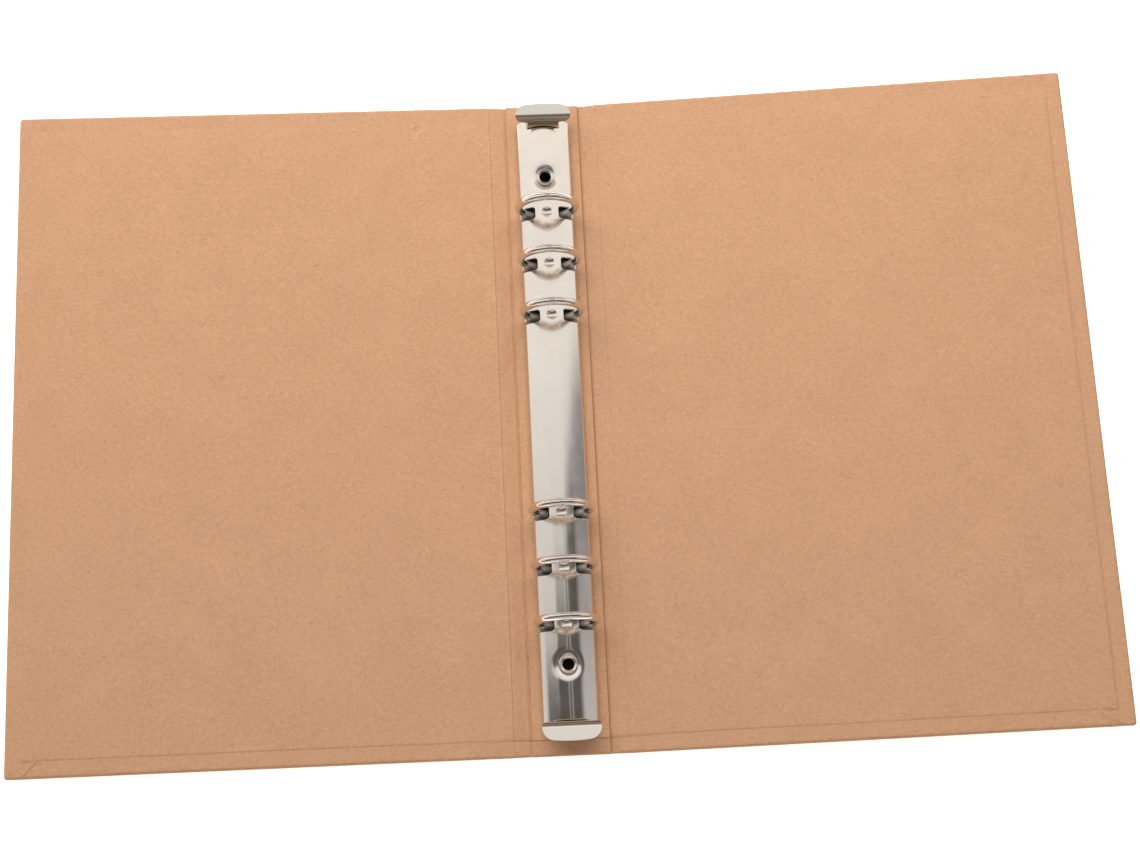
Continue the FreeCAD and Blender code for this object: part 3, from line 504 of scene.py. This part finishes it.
def plated_steel(name, haze, patchy):
    """Nickel plate: a warm mirror with a faint drawn grain along its length and a little handling haze."""
    material, shader = new_material(name)
    shader.inputs["Metallic"].default_value = 1.0
    drawn = pattern(material, 1500, (1.0, 0.03, 1.0), detail=2)
    bloom = pattern(material, 120, detail=4)
    feed(material, shader, {
        "Base Color": ramp(material, bloom, (0.3, (0.815, 0.763, 0.705)), (0.7, (0.865, 0.816, 0.758))),
        "Roughness": ramp(material, bloom, (0.3, haze), (0.7, haze + patchy)),
        "Normal": fine_relief(material, drawn, strength=0.05, distance=0.00002),
    })
    return material, shader


def dull_and_shade_below(material, shader, height, depth, dulled_and_shaded):
    """Mixes given values into the plating below a height: a duller, rougher finish on a staked foot, and a
    painted dark shade inside a clenched hollow rivet.
    """
    below_share = fade(material, own_place(material)["Z"], height, height - depth)
    for name, colour in dulled_and_shaded.items():
        socket = shader.inputs[name]
        plating = socket.links[0].from_socket if socket.links else (1, 1, 1, 1)
        feed(material, shader, {name: mix(material, below_share, plating, (*colour, 1))})


def rounded_dishes(material, arch, rim, edge, brim, steep, power):
    """Shades the dish at each rivet as drawn sheet, whose slope grows slowly from the arch to the rivet."""
    def value(operation, *values):
        return maths(material, operation, *values)

    def squared(length):
        return value("MULTIPLY", length, length)

    place = own_place(material)
    side, along = place["X"], value("SUBTRACT", value("ABSOLUTE", place["Y"]), rivet_place * mm)
    distance = value("POWER", value("ADD", squared(side), squared(along)), 0.5)
    radius = value("MAXIMUM", distance, rim)
    depth = add_node(material, "MapRange", {"Value": radius, "From Min": edge, "From Max": rim})["Result"]
    fall = value("DIVIDE", value("MULTIPLY", value("POWER", depth, power), steep), radius)
    bow = value("DIVIDE", side, value("POWER", value("SUBTRACT", arch * arch, squared(side)), 0.5))
    lean = value("MULTIPLY", value("MULTIPLY", fall, along), value("SIGN", place["Y"]))
    drawn_face = add_node(material, "CombineXYZ", {
        "X": value("SUBTRACT", bow, value("MULTIPLY", fall, side)),
        "Y": value("MULTIPLY", lean, -1.0), "Z": 1.0})["Vector"]
    solid_face = add_node(material, "NewGeometry")["Normal"]
    upward = value("GREATER_THAN", add_node(material, "SeparateXYZ", {"Vector": solid_face})["Z"], 0.5)
    inside = add_node(material, "MapRange", {
        "Value": radius, "From Min": brim[1], "From Max": brim[0]})["Result"]
    shown = mix(material, value("MULTIPLY", inside, upward), solid_face, unit(material, drawn_face))
    feed(material, material.node_tree.nodes["Bump"], {"Normal": shown})


plate_steel, shader = plated_steel("plate_nickel", haze=0.08, patchy=0.06)
rolled_along = add_node(plate_steel, "CombineXYZ", {"Y": 1.0})["Vector"]
feed(plate_steel, shader, {"Anisotropic": 0.7, "Tangent": rolled_along})
rounded_dishes(plate_steel, arch=0.013, rim=0.0031, edge=0.0064, brim=(0.0081, 0.0086), steep=0.5, power=1.5)
dress(plate_steel, "ring_plate")
rivet_steel, shader = plated_steel("rivet_nickel", haze=0.26, patchy=0.06)
# Inside the hollow rivet the colour is painted near-black as shade, and the finish is made rough.
dull_and_shade_below(rivet_steel, shader, height=0.0066, depth=0.0008,
           dulled_and_shaded={"Base Color": (0.10, 0.088, 0.076), "Roughness": (0.6, 0.6, 0.6)})
dress(rivet_steel, "spine_rivets")


# Carriers and lever pins
# Two strips of plain spring steel under the plate carry the half rings, and plain drawn pins hold the
# levers. They are left grey and oily, and show only through the ring openings.
spring_steel, shader = new_material("spring_steel")
rolled = pattern(spring_steel, 900, (1.0, 0.08, 1.0), detail=3)
feed(spring_steel, shader, {
    "Metallic": 1.0,
    "Base Color": ramp(spring_steel, rolled, (0.3, (0.30, 0.29, 0.28)), (0.7, (0.42, 0.41, 0.39))),
    "Roughness": ramp(spring_steel, rolled, (0.3, 0.28), (0.7, 0.42)),
    "Normal": fine_relief(spring_steel, rolled, strength=0.1, distance=0.0001),
})
dress(spring_steel, "left_carrier", "right_carrier", "lever_pins")


# Rings
# Twelve halves of bright plated wire, bent to a round ring in pairs. Their tips are stepped to lock into
# one another, and their feet, which are duller, are staked into the carriers.
wire_steel, shader = plated_steel("ring_wire_nickel", haze=0.06, patchy=0.08)
dull_and_shade_below(wire_steel, shader, height=0.0095, depth=0.0017,
           dulled_and_shaded={"Roughness": (0.3, 0.3, 0.3), "Metallic": (0.8, 0.8, 0.8)})
for side in ("left", "right"):
    dress(wire_steel, *(f"{side}_ring_{count}" for count in range(1, 7)))


# Levers
# A bent tab of plated steel at each end, pressed to open the rings. The wide tab is rubbed to a satin
# face by handling and dished a little towards the plate, where the thumb rests. On the bend and the neck,
# which face the plate, reflections are painted into the colour: a dark painted reflection on the bend and
# a golden painted reflection on the neck.
lever_steel, shader = plated_steel("lever_nickel", haze=0.2, patchy=0.04)
thumb_hollow, neck_painted_reflection, bend_painted_dark_reflection = 0.3, (0.92, 0.76, 0.52, 1), (0.38, 0.31, 0.25, 1)
bend_heights, tab_facing, bend_facing = (0.0080, 0.0100), (0.2, 0.5), (-0.05, -0.4)
place = own_place(lever_steel)
away = maths(lever_steel, "SIGN", place["Y"])
face = add_node(lever_steel, "NewGeometry")["Normal"]
facing = add_node(lever_steel, "SeparateXYZ", {"Vector": face})
hollow = fade(lever_steel, facing["Z"], *tab_facing, end=-thumb_hollow)
inward = add_node(lever_steel, "CombineXYZ", {"Y": maths(lever_steel, "MULTIPLY", hollow, away)})["Vector"]
dished = add_node(lever_steel, "VectorMath", {0: face, 1: inward}, operation="ADD")["Vector"]
feed(lever_steel, lever_steel.node_tree.nodes["Bump"], {"Normal": unit(lever_steel, dished)})
# Painted reflection: where the bend and the neck face the plate, a dark colour high on the bend and a golden
# one low on the neck are mixed into the plating.
painted_reflection_share = fade(lever_steel, maths(lever_steel, "MULTIPLY", facing["Y"], away), *bend_facing)
painted_reflection_colour = mix(lever_steel, fade(lever_steel, place["Z"], *bend_heights), neck_painted_reflection, bend_painted_dark_reflection)
plating = shader.inputs["Base Color"].links[0].from_socket
feed(lever_steel, shader, {"Base Color": mix(lever_steel, painted_reflection_share, plating, painted_reflection_colour)})
dress(lever_steel, "head_lever", "tail_lever")


# Studio
# A white sweep lit from below and above, and a white tent over the case, which only the bright steel
# mirrors: bright panels at the head, a paler one at the tail, grey cards at the right, and a dark opening
# overhead for the camera.
floor_paint, shader = new_material("white_sweep")
clean = pattern(floor_paint, 6, detail=2)
feed(floor_paint, shader, {
    "Base Color": ramp(floor_paint, clean, (0.3, (0.93, 0.93, 0.93)), (0.7, (0.95, 0.95, 0.95))),
    "Roughness": 0.9,
    "Specular IOR Level": 0.1,
    "Emission Color": (1, 1, 1, 1),
    "Emission Strength": 0.7,
})
bpy.ops.mesh.primitive_plane_add(size=60.0, location=(0, 0, -0.0002))
floor = bpy.context.object
floor.name = "white_floor"
floor.data.materials.append(floor_paint)

tent_radius, tent_reach = 0.66, 3.0
tent_angles = [math.radians(turn) for turn in range(-92, 93, 2)]
mesh = bmesh.new()
hoops = [[mesh.verts.new((tent_radius * math.sin(angle), end * tent_reach, tent_radius * math.cos(angle)))
          for angle in tent_angles] for end in (-1, 1)]
for (a, b), (c, d) in zip(zip(hoops[0], hoops[0][1:]), zip(hoops[1], hoops[1][1:])):
    mesh.faces.new((a, b, d, c))
tent_cloth, shader = new_material("white_tent")
spot = own_place(tent_cloth)
across, along = maths(tent_cloth, "DIVIDE", spot["X"], tent_radius), spot["Y"]


def strip(low, high, soft=0.03):
    """A lighter band across the tent's opening, with soft edges."""
    return maths(tent_cloth, "MULTIPLY", fade(tent_cloth, across, low, low + soft),
                 fade(tent_cloth, across, high, high - soft))


border_slope, border_soft, border_step, step_reach = 0.158, 0.04, (-0.52, -0.4), (0.008, 0.06)
opening_left, opening_tail = (-0.97, -0.87), (-0.20, -0.17)
card_edge, card_shading = (0.53, 0.78), (0.133, -0.051)
border = maths(tent_cloth, "MULTIPLY_ADD", maths(tent_cloth, "MAXIMUM", across, 0.0), border_slope,
               fade(tent_cloth, across, *border_step, *step_reach))
under = maths(tent_cloth, "SUBTRACT", along, border)
opening = maths(tent_cloth, "MULTIPLY", fade(tent_cloth, under, border_soft, -border_soft),
                fade(tent_cloth, across, *opening_left))
opening = maths(tent_cloth, "MULTIPLY", opening, fade(tent_cloth, along, *opening_tail))
strips = maths(tent_cloth, "MAXIMUM", strip(-0.03, 0.07), strip(0.12, 0.23))
gap = mix(tent_cloth, strips, (0.10, 0.092, 0.085, 1), (0.30, 0.28, 0.26, 1))
card = mix(tent_cloth, fade(tent_cloth, along, *card_shading), (0.25, 0.24, 0.25, 1), (0.58, 0.55, 0.55, 1))
dim = mix(tent_cloth, fade(tent_cloth, across, *card_edge), gap, card)
light = (0.72, 0.70, 0.68, 1)
for panel, starts, full in (((0.94, 0.905, 0.86, 1), 0.028, 0.264), ((1.06, 1.0, 0.93, 1), 0.29, 0.45),
                            ((0.56, 0.49, 0.44, 1), 0.50, 0.62), ((0.20, 0.175, 0.155, 1), 0.85, 1.25),
                            ((0.11, 0.098, 0.088, 1), -0.17, -0.20), ((0.66, 0.62, 0.58, 1), -0.42, -0.54),
                            ((0.62, 0.60, 0.58, 1), -1.6, -2.3), ((0.62, 0.60, 0.58, 1), 1.6, 2.3)):
    light = mix(tent_cloth, fade(tent_cloth, along, starts, full), light, panel)
feed(tent_cloth, shader, {
    "Base Color": (0, 0, 0, 1),
    "Roughness": 1.0,
    "Specular IOR Level": 0.0,
    "Emission Color": mix(tent_cloth, opening, light, dim),
    "Emission Strength": 1.0,
})
cloth = finished("white_tent", mesh, tent_cloth)
cloth.visible_camera = cloth.visible_diffuse = cloth.visible_shadow = cloth.visible_transmission = False

sky = bpy.data.worlds.new("soft_light")
bpy.context.scene.world = sky
sky.use_nodes = True
brighter_side = (-0.85, 0.53, 0.0)
towards = add_node(sky, "VectorMath", {0: add_node(sky, "TexCoord")["Generated"], 1: brighter_side},
                   operation="DOT_PRODUCT")["Value"]
share = add_node(sky, "MapRange", {"Value": towards, "From Min": -1.0, "From Max": 1.0})["Result"]
feed(sky, sky.node_tree.nodes["Background"], {
    "Color": ramp(sky, share, (0.1, (0.16, 0.15, 0.14)), (0.9, (0.82, 0.805, 0.79))),
    "Strength": 1.0,
})

lamp = bpy.data.lights.new("head_window", "AREA")
lamp.shape, lamp.size, lamp.size_y = "RECTANGLE", 0.9, 0.7
lamp.energy, lamp.color = 5.6, (1.0, 0.985, 0.965)
window = bpy.data.objects.new("head_window", lamp)
window.location = (-0.06, 0.38, 0.55)
window.rotation_euler = (-window.location).to_track_quat("-Z", "Y").to_euler()
window.visible_glossy = window.visible_camera = False
bpy.context.scene.collection.objects.link(window)

lens = bpy.data.cameras.new("photo_camera")
lens.sensor_width, lens.lens = 36.0, 63.158
lens.clip_start, lens.clip_end = 0.01, 20.0
camera = bpy.data.objects.new("photo_camera", lens)
right = (0.99830751, -0.04791613, 0.03295706)
up = (0.03768707, 0.96463256, 0.26089023)
back = (-0.04429230, -0.25920662, 0.96480574)
eye = (-0.02587, -0.18257, 0.66641)
camera.matrix_world = Matrix.Translation(eye) @ Matrix((right, up, back)).transposed().to_4x4()
bpy.context.scene.collection.objects.link(camera)
bpy.context.scene.camera = camera
bpy.context.scene.view_settings.view_transform = "Standard"
